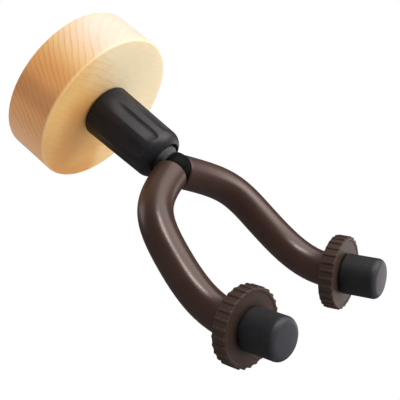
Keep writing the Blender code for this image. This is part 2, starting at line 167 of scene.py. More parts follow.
def lathe(name, outline, around, matrix=FORWARD, longest=None, relief=None, sharp=None):
    """A closed outline of (radius, height) turned about local Z. relief(r, angle, h) gives the radius."""
    if longest:
        outline = resampled(outline, longest)
    turn = np.arange(around) * 2 * math.pi / around
    rings = []
    for r, h in outline:
        radius = np.full(around, r) if relief is None else relief(r, turn, h)
        rings.append(np.stack([radius * np.cos(turn), radius * np.sin(turn), np.full(around, h)], 1))
    verts, faces = skin(rings, loop=True)
    return solid(name, verts, faces, matrix, sharp)


def turned_solid(name, profile, around, matrix=FORWARD, longest=None, relief=None, sharp=None):
    """A profile of (radius, height) that starts and ends on local Z, turned about it."""
    middle = list(profile[1:-1])
    if longest:
        whole = [middle[0]]
        for (a, b), (c, d) in zip(middle, middle[1:]):
            parts = max(1, math.ceil(math.hypot(c - a, d - b) / longest))
            whole += [(a + (c - a) * k / parts, b + (d - b) * k / parts) for k in range(1, parts + 1)]
        middle = whole
    turn = np.arange(around) * 2 * math.pi / around
    rings = []
    for r, h in middle:
        radius = np.full(around, r) if relief is None else relief(r, turn, h)
        rings.append(np.stack([radius * np.cos(turn), radius * np.sin(turn), np.full(around, h)], 1))
    verts, faces = skin(rings, start=(0, 0, profile[0][1]), end=(0, 0, profile[-1][1]))
    return solid(name, verts, faces, matrix, sharp)


def slab(name, loops, low, high, matrix=FORWARD):
    """A flat outline with holes, filled and given thickness, as a plain mesh object."""
    curve = bpy.data.curves.new(name, "CURVE")
    curve.dimensions, curve.fill_mode = "2D", "BOTH"
    curve.extrude = (high - low) * MM / 2
    for loop in loops:
        spline = curve.splines.new("POLY")
        spline.points.add(len(loop) - 1)
        for point, (x, y) in zip(spline.points, loop):
            point.co = (x * MM, y * MM, 0.0, 1.0)
        spline.use_cyclic_u = True
    holder = bpy.data.objects.new(name + "_outline", curve)
    bpy.context.scene.collection.objects.link(holder)
    bpy.context.view_layer.update()
    graph = bpy.context.evaluated_depsgraph_get()
    mesh = bpy.data.meshes.new_from_object(holder.evaluated_get(graph))
    bpy.data.objects.remove(holder, do_unlink=True)
    mesh.name = name
    mesh.materials.clear()
    shape = bmesh.new()
    shape.from_mesh(mesh)
    bmesh.ops.remove_doubles(shape, verts=shape.verts, dist=2e-6)
    bmesh.ops.recalc_face_normals(shape, faces=shape.faces)
    shape.to_mesh(mesh)
    shape.free()
    mesh.transform(matrix @ Matrix.Translation((0, 0, (high + low) * MM / 2)))
    return finished(name, mesh)


def carve(piece, *tools, operation="DIFFERENCE", sharp=35):
    """The tools cut into the piece, which becomes a plain mesh again, and the tools are removed."""
    for tool in tools:
        boolean = piece.modifiers.new(tool.name, "BOOLEAN")
        boolean.operation, boolean.solver, boolean.object = operation, "EXACT", tool
    settle(piece, sharp)
    for tool in tools:
        bpy.data.objects.remove(tool, do_unlink=True)
    return piece


def settle(piece, sharp=None):
    bpy.context.view_layer.update()
    graph = bpy.context.evaluated_depsgraph_get()
    mesh = bpy.data.meshes.new_from_object(piece.evaluated_get(graph))
    piece.modifiers.clear()
    piece.data = mesh
    mesh.shade_smooth()
    if sharp is not None:
        mesh.set_sharp_from_angle(angle=math.radians(sharp))


def weld(piece, near, sharp=None):
    """Merge the slivers that a cut or a clamped bevel leaves, closer than this many millimetres."""
    shape = bmesh.new()
    shape.from_mesh(piece.data)
    bmesh.ops.remove_doubles(shape, verts=shape.verts, dist=near * MM)
    bmesh.ops.dissolve_degenerate(shape, edges=shape.edges, dist=near * MM)
    shape.to_mesh(piece.data)
    shape.free()
    if sharp is not None:
        piece.data.set_sharp_from_angle(angle=math.radians(sharp))


def soften(piece, width, segments=2, angle=35):
    """Small rounded edges, with face normals that keep the flats flat."""
    bevel = piece.modifiers.new("soft_edge", "BEVEL")
    bevel.width, bevel.segments = width * MM, segments
    bevel.limit_method, bevel.angle_limit = "ANGLE", math.radians(angle)
    bevel.harden_normals = True
    return piece


def circle(x, y, radius, count, start=0.0):
    return [
        (
            x + radius * math.cos(start + 2 * math.pi * i / count),
            y + radius * math.sin(start + 2 * math.pi * i / count),
        )
        for i in range(count)
    ]


# ---------------------------------------------------------------- the arms' centre line


def spline_point(points, knots, u, degree=3):
    last = len(points) - 1
    span = max(i for i in range(degree, last + 1) if knots[i] <= u)
    row = [points[span - degree + i].copy() for i in range(degree + 1)]
    for level in range(1, degree + 1):
        for i in range(degree, level - 1, -1):
            low, high = knots[span - degree + i], knots[span + 1 + i - level]
            share = (u - low) / (high - low)
            row[i] = row[i - 1] * (1 - share) + row[i] * share
    return row[degree]


def forward(x, f, z):
    return Vector((x, -f, z))


tip_way = forward(
    math.sin(TIP_OUT) * math.cos(TIP_UP), math.cos(TIP_OUT) * math.cos(TIP_UP), math.sin(TIP_UP)
)
tip = forward(*TIP)
controls = [forward(*p) for p in ARM_POINTS] + [tip - tip_way * TIP_RUN, tip]
spans = len(controls) - 3
knots = [0.0] * 3 + [i / spans for i in range(spans + 1)] + [1.0] * 3
root_way = (controls[1] - controls[0]).normalized()
hub_centre = controls[0] - root_way * (controls[0].x / root_way.x)


def mirrored(point, side):
    return Vector((point.x * side, point.y, point.z))


def pointing(place, way):
    return Matrix.Translation(place * MM) @ way.to_track_quat("Z", "Y").to_matrix().to_4x4()


def arm_path(start_s, end_s, side, step=0.8):
    """Evenly spaced points and directions from start_s past the hub's centre to end_s past the tip."""
    raw = [hub_centre + root_way * start_s]
    raw += [spline_point(controls, knots, i / 400) for i in range(401)]
    raw = [p for p in raw if (p - tip).dot(tip_way) < min(0.0, end_s) - 0.05]
    raw.append(tip + tip_way * end_s)
    raw = np.array([mirrored(p, side) for p in raw])
    gone = np.concatenate([[0], np.cumsum(np.linalg.norm(np.diff(raw, axis=0), axis=1))])
    count = max(8, round(gone[-1] / step))
    at = np.linspace(0, gone[-1], count + 1)
    points = np.stack([np.interp(at, gone, raw[:, k]) for k in range(3)], 1)
    ways = np.gradient(points, axis=0)
    ways[0] = np.array(mirrored(root_way, side))
    ways[-1] = np.array(mirrored(tip_way, side))
    ways /= np.linalg.norm(ways, axis=1)[:, None]
    return points, ways, at


def frames(ways, up=(0.0, 0.0, 1.0)):
    """Two directions across each way, carried along the line without twist."""
    first = np.cross(ways[0], up)
    first /= np.linalg.norm(first)
    across = [first]
    for way in ways[1:]:
        b = across[-1] - way * (across[-1] @ way)
        across.append(b / np.linalg.norm(b))
    across = np.array(across)
    return across, np.cross(ways, across)


def swept(name, points, ways, outer, inner, around, sharp=None):
    """A tube with its own radii along the line: outer and inner are arrays, and the ends close between them.
    outer starts and ends with the end faces' own rings, given as (place along, radius) pairs."""
    across, up = frames(ways)
    turn = np.arange(around) * 2 * math.pi / around
    ring = lambda i, shift, r: (
        points[i]
        + ways[i] * shift
        + r * (np.cos(turn)[:, None] * across[i] + np.sin(turn)[:, None] * up[i])
    )
    rings = [ring(i, shift, r) for i, shift, r in outer]
    if inner is None:
        verts, faces = skin(rings, start=points[0] + ways[0] * outer[0][1], end=points[-1] + ways[-1] * outer[-1][1])
    else:
        rings += [ring(i, shift, r) for i, shift, r in reversed(inner)]
        verts, faces = skin(rings, loop=True)
    return solid(name, verts, faces, None, sharp)


# ---------------------------------------------------------------- camera, floor and light

camera_data = bpy.data.cameras.new("camera")
camera_data.sensor_width, camera_data.lens = 36.0, 85.0951
camera_data.clip_start, camera_data.clip_end = 0.01, 100.0
camera = bpy.data.objects.new("camera", camera_data)
camera.matrix_world = Matrix(
    (
        (0.59264071, 0.21963921, -0.77494232, -0.34320192),
        (-0.70867768, 0.5994537, -0.37206345, -0.25810082),
        (0.38282232, 0.76968427, 0.51091407, 0.22165326),
        (0, 0, 0, 1),
    )
)
bpy.context.scene.collection.objects.link(camera)
bpy.context.scene.camera = camera
bpy.context.scene.view_settings.view_transform = "Standard"
bpy.context.scene.view_settings.look = "None"


def lamp(name, place, size, power, colour=(1, 1, 1), target=(0.0, -0.08, 0.0), size_y=None):
    data = bpy.data.lights.new(name, "AREA")
    data.energy, data.color = power, colour
    data.shape = "RECTANGLE" if size_y else "DISK"
    data.size = size
    if size_y:
        data.size_y = size_y
    made = bpy.data.objects.new(name, data)
    made.location = place
    made.rotation_mode = "QUATERNION"
    made.rotation_quaternion = (Vector(target) - Vector(place)).to_track_quat("-Z", "Y")
    bpy.context.scene.collection.objects.link(made)
    return made


lamp("overhead_softbox", (0.30, -0.02, 0.80), 0.80, 6.2, (1.0, 0.96, 0.91), size_y=0.95)
lamp("top_spot", (-0.22, 0.01, 0.84), 0.12, 1.9, (1.0, 0.92, 0.89))
lamp("top_spot_rear", (-0.09, 0.15, 0.84), 0.12, 1.1, (1.0, 0.92, 0.89))
for flat in (
    lamp("key", (0.56, -0.66, 0.56), 1.20, 6.9, (1.0, 0.975, 0.95)),
    lamp("front_fill", (0.30, -0.95, -0.12), 0.80, 3.2),
    lamp("left_bounce", (-0.85, 0.05, -0.50), 0.90, 1.9, (1.0, 0.94, 0.88)),
):
    flat.visible_glossy = False
lamp("rear_card", (-0.10, 0.95, -0.25), 0.80, 2.4)
for sheen in (
    lamp("sheen_panel", (0.36, -0.44, 0.76), 0.46, 2.3, (1.0, 0.92, 0.86)),
    lamp("right_panel", (1.0, -0.50, -0.08), 0.70, 2.6, (1.0, 0.90, 0.85)),
):
    sheen.visible_diffuse = False


def by_ray(tree, kinds, rest, out):
    """Mixes shaders by the kind of ray, so that black flags stand in the reflections and the paper is white."""
    ray = tree.nodes.new("ShaderNodeLightPath")
    for kind, shader in kinds:
        either = tree.nodes.new("ShaderNodeMixShader")
        tree.links.new(ray.outputs[kind], either.inputs["Fac"])
        tree.links.new(rest, either.inputs[1])
        tree.links.new(shader, either.inputs[2])
        rest = either.outputs["Shader"]
    tree.links.new(rest, out)


def glow(tree, kind, strength, colour=(1.0, 1.0, 1.0, 1.0)):
    made = tree.nodes.new(kind)
    made.inputs["Color"].default_value = colour
    made.inputs["Strength"].default_value = strength
    return made.outputs[0]


world = bpy.data.worlds.new("studio")
world.use_nodes = True
bpy.context.scene.world = world
tree = world.node_tree
tree.nodes.clear()
world_out = tree.nodes.new("ShaderNodeOutputWorld")
by_ray(
    tree,
    (
        ("Is Glossy Ray", glow(tree, "ShaderNodeBackground", 0.11)),
        ("Is Camera Ray", glow(tree, "ShaderNodeBackground", 1.0)),
    ),
    glow(tree, "ShaderNodeBackground", 0.37),
    world_out.inputs["Surface"],
)

# ---------------------------------------------------------------- material tools


class Paint:
    """A Principled material and short calls to build its nodes. Positions are row-frame metres at rest."""

    def __init__(self, name):
        self.mat = bpy.data.materials.new(name)
        self.mat.use_nodes = True
        self.nodes, self.links = self.mat.node_tree.nodes, self.mat.node_tree.links
        self.shader = self.nodes["Principled BSDF"]
        self.place = self.nodes.new("ShaderNodeTexCoord").outputs["Object"]

    def put(self, socket, value):
        if isinstance(value, bpy.types.NodeSocket):
            self.links.new(value, socket)
        elif value is not None:
            socket.default_value = value

    def set(self, **values):
        for key, value in values.items():
            self.put(self.shader.inputs[key.replace("_", " ")], value)
        return self

    def maths(self, operation, a, b=None, c=None, clamp=False):
        n = self.nodes.new("ShaderNodeMath")
        n.operation, n.use_clamp = operation, clamp
        for socket, value in zip(n.inputs, (a, b, c)):
            self.put(socket, value)
        return n.outputs[0]

    def dot(self, vector, direction):
        n = self.nodes.new("ShaderNodeVectorMath")
        n.operation = "DOT_PRODUCT"
        self.put(n.inputs[0], vector)
        n.inputs[1].default_value = direction
        return n.outputs["Value"]

    def length(self, vector):
        n = self.nodes.new("ShaderNodeVectorMath")
        n.operation = "LENGTH"
        self.put(n.inputs[0], vector)
        return n.outputs["Value"]

    def times(self, vector, factors):
        n = self.nodes.new("ShaderNodeVectorMath")
        n.operation = "MULTIPLY"
        self.put(n.inputs[0], vector)
        n.inputs[1].default_value = factors
        return n.outputs[0]

    def plus(self, vector, other):
        n = self.nodes.new("ShaderNodeVectorMath")
        n.operation = "ADD"
        self.put(n.inputs[0], vector)
        self.put(n.inputs[1], other)
        return n.outputs[0]

    def joined(self, x, y, z):
        n = self.nodes.new("ShaderNodeCombineXYZ")
        for socket, value in zip(n.inputs, (x, y, z)):
            self.put(socket, value)
        return n.outputs[0]

    def split(self, vector):
        n = self.nodes.new("ShaderNodeSeparateXYZ")
        self.put(n.inputs[0], vector)
        return n.outputs

    def noise(self, scale, detail=3.0, rough=0.5, vector=None, warp=0.0):
        """Grey noise, 0 to 1; scale is in features per metre."""
        n = self.nodes.new("ShaderNodeTexNoise")
        self.put(n.inputs["Vector"], vector or self.place)
        n.inputs["Scale"].default_value = scale
        n.inputs["Detail"].default_value = detail
        n.inputs["Roughness"].default_value = rough
        n.inputs["Distortion"].default_value = warp
        return n.outputs["Fac"]

    def cells(self, scale, vector=None, kind="F1", output="Distance", random=1.0):
        n = self.nodes.new("ShaderNodeTexVoronoi")
        n.feature = kind
        self.put(n.inputs["Vector"], vector or self.place)
        n.inputs["Scale"].default_value = scale
        n.inputs["Randomness"].default_value = random
        return n.outputs[output]

    def ranged(self, value, low, high, to_low=0.0, to_high=1.0, smooth=False):
        n = self.nodes.new("ShaderNodeMapRange")
        if smooth:
            n.interpolation_type = "SMOOTHSTEP"
        self.put(n.inputs["Value"], value)
        for key, v in (("From Min", low), ("From Max", high), ("To Min", to_low), ("To Max", to_high)):
            n.inputs[key].default_value = v
        return n.outputs["Result"]

    def mix(self, share, a, b, kind="MIX"):
        n = self.nodes.new("ShaderNodeMix")
        n.data_type, n.blend_type = "RGBA", kind
        self.put(n.inputs[0], share)
        for socket, value in ((n.inputs[6], a), (n.inputs[7], b)):
            self.put(socket, (*value, 1.0) if isinstance(value, tuple) and len(value) == 3 else value)
        return n.outputs[2]

    def bump(self, height, strength, distance, after=None):
        n = self.nodes.new("ShaderNodeBump")
        n.inputs["Strength"].default_value = strength
        n.inputs["Distance"].default_value = distance
        self.put(n.inputs["Height"], height)
        if after is not None:
            self.put(n.inputs["Normal"], after)
        return n.outputs["Normal"]


def srgb(r, g, b):
    """A display colour, 0 to 255, as linear."""
    return tuple(
        c / 255 / 12.92 if c / 255 <= 0.04045 else ((c / 255 + 0.055) / 1.055) ** 2.4 for c in (r, g, b)
    )


# ---------------------------------------------------------------- materials

# Wood: flat-sawn layers as tilted planes, a cream zone and a warmer one that are part wood colour and part painted
# light, painted shade and painted light in places, a painted highlight on the front arris, satin lacquer.
p = Paint("lacquered_pale_wood")
LAYER = Vector((0.286, -0.55, 0.785)).normalized()
FIBRE = Vector((0.94, 0.0, -0.342)).normalized()
THIRD = LAYER.cross(FIBRE)
depth = p.dot(p.place, tuple(LAYER))
run = p.dot(p.place, tuple(FIBRE))
side_way = p.dot(p.place, tuple(THIRD))
grain_space = p.joined(p.maths("MULTIPLY", run, 0.06), depth, p.maths("MULTIPLY", side_way, 0.25))
wander = p.noise(26.0, 2.0, 0.5)
wavy = p.maths("ADD", p.maths("MULTIPLY", depth, 1000.0), p.ranged(wander, 0.2, 0.8, -2.6, 2.6))
ripple = p.noise(160.0, 2.0, 0.5, grain_space)
wavy = p.maths("ADD", wavy, p.ranged(ripple, 0.2, 0.8, -0.5, 0.5))
ring = p.maths("FRACT", p.maths("DIVIDE", wavy, 2.6))
late = p.ranged(ring, 0.62, 0.93, 0.0, 1.0, smooth=True)
late = p.maths("MULTIPLY", late, p.ranged(ring, 0.95, 1.0, 1.0, 0.0, smooth=True))
uneven = p.ranged(p.noise(90.0, 2.0, 0.5), 0.3, 0.7, 0.35, 1.0)
late = p.maths("MULTIPLY", late, uneven)
fibre_space = p.joined(p.maths("MULTIPLY", run, 0.045), depth, side_way)
fibre = p.noise(2600.0, 3.0, 0.6, fibre_space)
fleck = p.ranged(p.noise(1500.0, 1.0, 0.4, p.joined(p.maths("MULTIPLY", run, 0.09), depth, side_way)), 0.60, 0.72)
# Cream and warmer zones: part the wood's own colour along the layers, part painted light, cream towards the upper right
# where the key light falls.
heartwood_and_light_way = p.maths("MULTIPLY", p.dot(p.place, (0.62, -0.2, 0.55)), 1000.0)
zone_at = p.maths("ADD", heartwood_and_light_way, p.ranged(p.noise(38.0, 3.0, 0.55), 0.25, 0.75, -4.0, 4.0))
zone_at = p.maths("ADD", zone_at, p.ranged(ring, 0.0, 1.0, 1.2, -1.2))
zone = p.ranged(zone_at, -1.0, 17.0, 0.0, 1.0, smooth=True)
deep = p.ranged(p.noise(30.0, 2.0, 0.5, p.plus(p.place, (0.31, 0.17, 0.05))), 0.35, 0.7)
low = p.mix(deep, srgb(232, 188, 118), srgb(222, 168, 98))
x, y, z = p.split(p.place)[:3]
# Painted shadow of the boot: a deeper orange band left of it and below its top. foot makes the base deeper orange
# towards its bottom, left of the middle.
boot_shadow = p.ranged(p.maths("ABSOLUTE", p.maths("ADD", x, 0.018)), 0.003, 0.015, 1.0, 0.0, smooth=True)
boot_shadow = p.maths("MULTIPLY", boot_shadow, p.ranged(z, 0.016, -0.002, smooth=True))
foot = p.maths("MULTIPLY", p.ranged(z, -0.028, -0.036, smooth=True), p.ranged(x, 0.012, 0.003, smooth=True))
low = p.mix(p.maths("MULTIPLY", p.maths("MAXIMUM", boot_shadow, foot), 0.6), low, srgb(216, 146, 76))
face = p.ranged(y, -0.0232, -0.0247, smooth=True)
# The side's cream is paler and greyer than the face's: painted sheen where the overhead light catches the side.
tone = p.mix(zone, low, p.mix(face, srgb(227, 209, 192), srgb(237, 221, 184)))
# Painted shade: the side away from the light, at the left, deeper and redder.
left_side_shade = p.maths("MULTIPLY", p.ranged(x, -0.022, -0.038, smooth=True), p.maths("SUBTRACT", 1.0, face))
tone = p.mix(p.maths("MULTIPLY", left_side_shade, 0.50), tone, srgb(228, 140, 80))
# Painted shade: a darker brown band along the left side at mid height, where it turns away from the light.
side_terminator_shade = p.ranged(p.maths("ABSOLUTE", p.maths("ADD", z, -0.007)), 0.002, 0.010, 0.5, 0.0, smooth=True)
side_terminator_shade = p.maths("MULTIPLY", side_terminator_shade, p.maths("MULTIPLY", p.ranged(x, -0.028, -0.036, smooth=True), p.maths("SUBTRACT", 1.0, face)))
tone = p.mix(side_terminator_shade, tone, srgb(177, 118, 79))
# Painted light: the top of the side paler cream where the warmer zone reaches it.
lit_crown = p.maths("MULTIPLY", p.ranged(z, 0.022, 0.032, smooth=True), p.maths("SUBTRACT", 1.0, face))
tone = p.mix(p.maths("MULTIPLY", p.maths("MULTIPLY", lit_crown, p.maths("SUBTRACT", 1.0, zone)), 0.30), tone, srgb(240, 224, 184))
# Painted light: the face paler at its lower right, right of the boot.
lit_lower_right = p.maths("MULTIPLY", p.ranged(z, -0.018, -0.026, smooth=True), p.maths("MULTIPLY", p.ranged(x, 0.004, 0.012, smooth=True), face))
tone = p.mix(p.maths("MULTIPLY", lit_lower_right, 0.28), tone, srgb(240, 226, 190))
# Painted light: the side paler towards the bottom, standing in for light bounced up from the floor.
floor_bounce = p.maths("MULTIPLY", p.ranged(z, 0.006, -0.034, smooth=True), p.maths("SUBTRACT", 1.0, face))
tone = p.mix(p.maths("MULTIPLY", floor_bounce, 0.70), tone, srgb(238, 200, 168))
line = p.maths("MULTIPLY", p.ranged(face, 0.0, 1.0, 0.52, 0.12), p.ranged(zone, 0.0, 1.0, 1.0, 0.18))
tone = p.mix(p.maths("MULTIPLY", late, line), tone, srgb(184, 112, 62))
tone = p.mix(p.ranged(fibre, 0.3, 0.8, 0.0, 0.16), tone, srgb(196, 138, 84), "MIX")
tone = p.mix(p.maths("MULTIPLY", fleck, 0.15), tone, srgb(196, 142, 88))
# Painted highlight: a pale line along the rounded front arris.
reach = p.length(p.joined(x, 0.0, z))
arris_highlight = p.maths(
    "MULTIPLY", p.ranged(reach, 0.0388, 0.0396, smooth=True), p.ranged(y, -0.0238, -0.0246, smooth=True)
)
tone = p.mix(p.maths("MULTIPLY", arris_highlight, 0.30), tone, srgb(244, 220, 176))
rough = p.maths("ADD", p.ranged(fibre, 0.2, 0.8, 0.36, 0.52), p.maths("MULTIPLY", late, -0.05))
relief = p.maths("ADD", p.maths("MULTIPLY", fibre, 0.5), p.maths("MULTIPLY", late, 0.8))
p.set(Base_Color=tone, Roughness=rough, Coat_Weight=0.07, Coat_Roughness=0.30, Specular_IOR_Level=0.28)
p.set(Normal=p.bump(relief, 0.10, 0.00012))
WOOD = p.mat

# Boot: moulded near-black thermoplastic with a fine spark-eroded texture and faint rub marks.
p = Paint("black_moulding")
grit = p.noise(5200.0, 2.0, 0.55)
cloud = p.noise(70.0, 4.0, 0.6)
rub = p.ranged(p.noise(420.0, 4.0, 0.65, p.times(p.place, (1.0, 0.14, 1.0))), 0.52, 0.8)
tone = p.mix(p.ranged(cloud, 0.3, 0.7, 0.0, 1.0), srgb(24, 24, 27), srgb(30, 30, 34))
tone = p.mix(p.maths("MULTIPLY", rub, 0.25), tone, srgb(64, 63, 66))
p.set(Base_Color=tone, Roughness=p.maths("ADD", p.ranged(cloud, 0.25, 0.75, 0.40, 0.50), p.maths("MULTIPLY", rub, 0.06)))
p.set(Normal=p.bump(grit, 0.30, 0.00005), Specular_IOR_Level=p.ranged(p.split(p.place)[1], -0.058, -0.030, 0.52, 0.26))
p.set(Specular_Tint=(0.94, 0.94, 1.0, 1.0))
BLACK = p.mat

# Hub: forged steel; its knuckle matt black, part the steel's own black and part painted shade, and its neck grey on top
# as painted light, darker underneath as painted shade.
p = Paint("blackened_steel")
scale_marks = p.noise(700.0, 4.0, 0.6)
patch = p.cells(260.0, random=0.9)
# Painted light and shade: the neck grey where light falls on its top and darker underneath; the knuckle near black with
# little shine, as in shade.
neck = p.ranged(p.split(p.place)[1], -0.0712, -0.0700, smooth=True)
neck = p.maths("MULTIPLY", neck, p.ranged(p.split(p.place)[2], 0.0010, 0.0048, 0.30, 1.0, smooth=True))
black = p.mix(p.ranged(scale_marks, 0.3, 0.7), srgb(6, 6, 7), srgb(12, 12, 13))
lit_neck_grey = p.mix(p.ranged(scale_marks, 0.3, 0.7), srgb(58, 59, 61), srgb(80, 81, 84))
p.set(Base_Color=p.mix(neck, black, lit_neck_grey), Roughness=p.ranged(scale_marks, 0.25, 0.75, 0.48, 0.62))
p.set(Specular_IOR_Level=p.ranged(neck, 0.0, 1.0, 0.07, 0.5))
p.set(Normal=p.bump(p.maths("ADD", scale_marks, p.maths("MULTIPLY", patch, 0.4)), 0.25, 0.00008))
HUB = p.mat


def lit_cap_end(p, tone):
    """The caps' ends: painted light, paler and bluer where the ends face the light, with a soft broken edge. The caps
    mirror each other in x.
    """
    x, y, z = p.split(p.place)[:3]
    height = p.dot(p.joined(p.maths("ABSOLUTE", x), y, z), tuple(tip_way))
    start = (tip_way.dot(tip) + DISC_T + GAP) * MM
    height = p.maths("ADD", p.maths("SUBTRACT", height, start), p.ranged(p.noise(500.0, 3.0, 0.6), 0.3, 0.7, -0.0004, 0.0004))
    return p.mix(p.ranged(height, 0.0152, 0.0170, 0.0, 0.8, smooth=True), tone, srgb(54, 54, 62))


def shaded_corner(p, tone):
    """The discs' faces: painted shadow in the corner round the cap, where the cap's shadow falls."""
    x, y, z = p.split(p.place)[:3]
    out = p.plus(p.joined(p.maths("ABSOLUTE", x), y, z), tuple(-c * MM for c in tip))
    along, far = p.dot(out, tuple(tip_way)), p.length(out)
    reach = p.maths("SUBTRACT", p.maths("MULTIPLY", far, far), p.maths("MULTIPLY", along, along))
    reach = p.maths("SQRT", p.maths("MAXIMUM", reach, 0.0))
    return p.mix(p.ranged(reach, 0.0096, 0.0134, 0.62, 0.0, smooth=True), tone, srgb(30, 22, 19))


def rubber(name, dark, light, rough_low, rough_high, grain, strength, dust, gloss, edge=None, sheen=(1.0, 1.0, 1.0), dulled=0.0):
    """Moulded rubber: mottled colour, a fine skin texture and a little dust that stays in it."""
    p = Paint(name)
    cloud = p.noise(60.0, 4.0, 0.6)
    mottle = p.noise(900.0, 3.0, 0.6)
    skin_grain = p.noise(grain, 2.0, 0.6)
    tone = p.mix(p.ranged(cloud, 0.3, 0.7), dark, light)
    tone = p.mix(p.ranged(mottle, 0.45, 0.8, 0.0, 0.12), tone, dust)
    speck = p.ranged(p.cells(700.0, random=1.0), 0.0, 0.10, 0.25, 0.0)
    tone = p.mix(speck, tone, dust)
    # edge paints light or shade onto the colour: painted light on the caps' ends, painted shadow round the caps on the
    # discs.
    if edge is not None:
        tone = edge(p, tone)
    rough = p.maths("ADD", p.ranged(cloud, 0.3, 0.7, rough_low, rough_high), p.ranged(mottle, 0.3, 0.8, -0.01, 0.02))
    rough = p.maths("ADD", rough, p.ranged(p.split(p.place)[1], -0.098, -0.078, 0.0, dulled, smooth=True))
    p.set(Base_Color=tone, Roughness=rough, Normal=p.bump(skin_grain, strength, 0.00006))
    p.set(Specular_IOR_Level=gloss, Specular_Tint=(*sheen, 1.0))
    return p.mat


SLEEVE = rubber(
    "brown_rubber_satin", srgb(53, 35, 30), srgb(59, 40, 34), 0.27, 0.31, 6000.0, 0.010, srgb(78, 60, 54), 0.64,
    sheen=(1.0, 0.87, 0.85), dulled=0.13,
)
DISC = rubber(
    "brown_rubber_matte", srgb(56, 41, 34), srgb(65, 47, 39), 0.50, 0.58, 3000.0, 0.18, srgb(104, 84, 72), 0.34, shaded_corner
)
CAP = rubber(
    "charcoal_rubber", srgb(28, 28, 31), srgb(34, 34, 38), 0.44, 0.54, 2600.0, 0.20, srgb(80, 80, 86), 0.38, lit_cap_end
)


def metal(name, colour, rough_low, rough_high, across=(1.0, 0.03, 1.0), strength=0.10, stain=None):
    """Turned or drawn metal: fine lines along one direction and slow patches of tarnish."""
    p = Paint(name)
    lines = p.noise(4200.0, 2.0, 0.6, p.times(p.place, across))
    patch = p.noise(150.0, 4.0, 0.6)
    tone = p.mix(p.ranged(lines, 0.3, 0.7, 0.0, 0.25), colour, tuple(c * 0.72 for c in colour))
    tone = p.mix(p.ranged(patch, 0.5, 0.8, 0.0, 0.35), tone, stain or tuple(c * 0.6 for c in colour))
    p.set(Base_Color=tone, Metallic=0.72)
    p.set(Roughness=p.maths("ADD", p.ranged(patch, 0.25, 0.75, rough_low, rough_high), p.ranged(lines, 0.3, 0.7, -0.04, 0.06)))
    p.set(Normal=p.bump(lines, strength, 0.00005))
    return p.mat


STEEL = metal("bright_steel", srgb(196, 197, 200), 0.24, 0.36)
TURNED = metal("turned_steel", srgb(188, 189, 192), 0.28, 0.40, (0.05, 1.0, 0.05))

# Zinc plate: crystalline spangle under a thin bluish passivation.
p = Paint("zinc_plate")
spangle = p.cells(330.0, output="Color")
grey = p.dot(spangle, (0.4, 0.3, 0.3))
fine = p.noise(2400.0, 3.0, 0.6)
tone = p.mix(p.ranged(grey, 0.2, 0.8), srgb(160, 166, 172), srgb(196, 200, 204))
tone = p.mix(p.ranged(p.noise(60.0, 3.0, 0.5), 0.45, 0.75, 0.0, 0.35), tone, srgb(178, 176, 160))
p.set(Base_Color=tone, Metallic=0.68, Roughness=p.maths("ADD", p.ranged(grey, 0.2, 0.8, 0.34, 0.48), p.ranged(fine, 0.3, 0.7, -0.03, 0.04)))
p.set(Normal=p.bump(fine, 0.08, 0.00005))
ZINC = p.mat

# Nylon washer: milky, faintly mottled.
p = Paint("white_nylon")
cloud = p.noise(220.0, 3.0, 0.5)
p.set(Base_Color=p.mix(cloud, srgb(226, 223, 212), srgb(238, 236, 228)), Roughness=p.ranged(cloud, 0.3, 0.7, 0.42, 0.52))
p.set(Subsurface_Weight=0.15, Subsurface_Scale=0.001, Normal=p.bump(p.noise(3000.0), 0.08, 0.00004))
NYLON = p.mat

# Floor: white seamless paper, exposed to white.
p = Paint("studio_paper")
p.set(Base_Color=p.mix(p.noise(3.0, 3.0, 0.5), (0.93, 0.93, 0.93), (0.95, 0.95, 0.95)), Roughness=0.85)
p.set(Specular_IOR_Level=0.1, Normal=p.bump(p.noise(900.0, 2.0, 0.5), 0.02, 0.0002))
tree = p.mat.node_tree
paper_out = next(n for n in p.nodes if n.type == "OUTPUT_MATERIAL")
by_ray(
    tree,
    (
        ("Is Glossy Ray", glow(tree, "ShaderNodeEmission", 0.10)),
        ("Is Camera Ray", glow(tree, "ShaderNodeEmission", 1.0)),
    ),
    p.shader.outputs[0],
    paper_out.inputs["Surface"],
)
PAPER = p.mat

floor_mesh = bpy.data.meshes.new("studio_floor")
sheet = bmesh.new()
bmesh.ops.create_grid(sheet, x_segments=8, y_segments=8, size=30.0)
sheet.to_mesh(floor_mesh)
sheet.free()
floor = bpy.data.objects.new("studio_floor", floor_mesh)
floor.location = (0, 0, -0.50)
floor_mesh.materials.append(PAPER)
bpy.context.scene.collection.objects.link(floor)

# ---------------------------------------------------------------- pieces


def dress(piece, paint, body, slot, *nodes):
    """Gives a fine piece its paint, its body and the CAD nodes that it stands for. slot is not used."""
    piece.data.materials.clear()
    piece.data.materials.append(paint)
    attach(piece, body)
    if nodes:
        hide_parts(*nodes)
    return piece


# Wood base: turned block with its front arris eased, its bore, the plate's recess and the pockets.
wood = lathe(
    "turned_wood_base",
    rounded(
        [
            (BASE_BORE_R, BASE_T, 0.25),
            (BASE_R, BASE_T, 0.9),
            (BASE_R, 0.0, 0.4),
            (PLATE_R + GAP, 0.0, 0.2),
            (PLATE_R + GAP, PLATE_T + GAP),
            (NUT_POCKET_R, PLATE_T + GAP, 0.2),
            (NUT_POCKET_R, NUT_POCKET_F),
            (BASE_BORE_R, NUT_POCKET_F, 0.2),
        ],
        5,
    ),
    192,
    longest=4.0,
)


def stadium(x, low, high, radius, count=24):
    up = [
        (x + radius * math.cos(math.pi * i / count), high + radius * math.sin(math.pi * i / count))
        for i in range(count + 1)
    ]
    down = [
        (x - radius * math.cos(math.pi * i / count), low - radius * math.sin(math.pi * i / count))
        for i in range(count + 1)
    ]
    return up + down


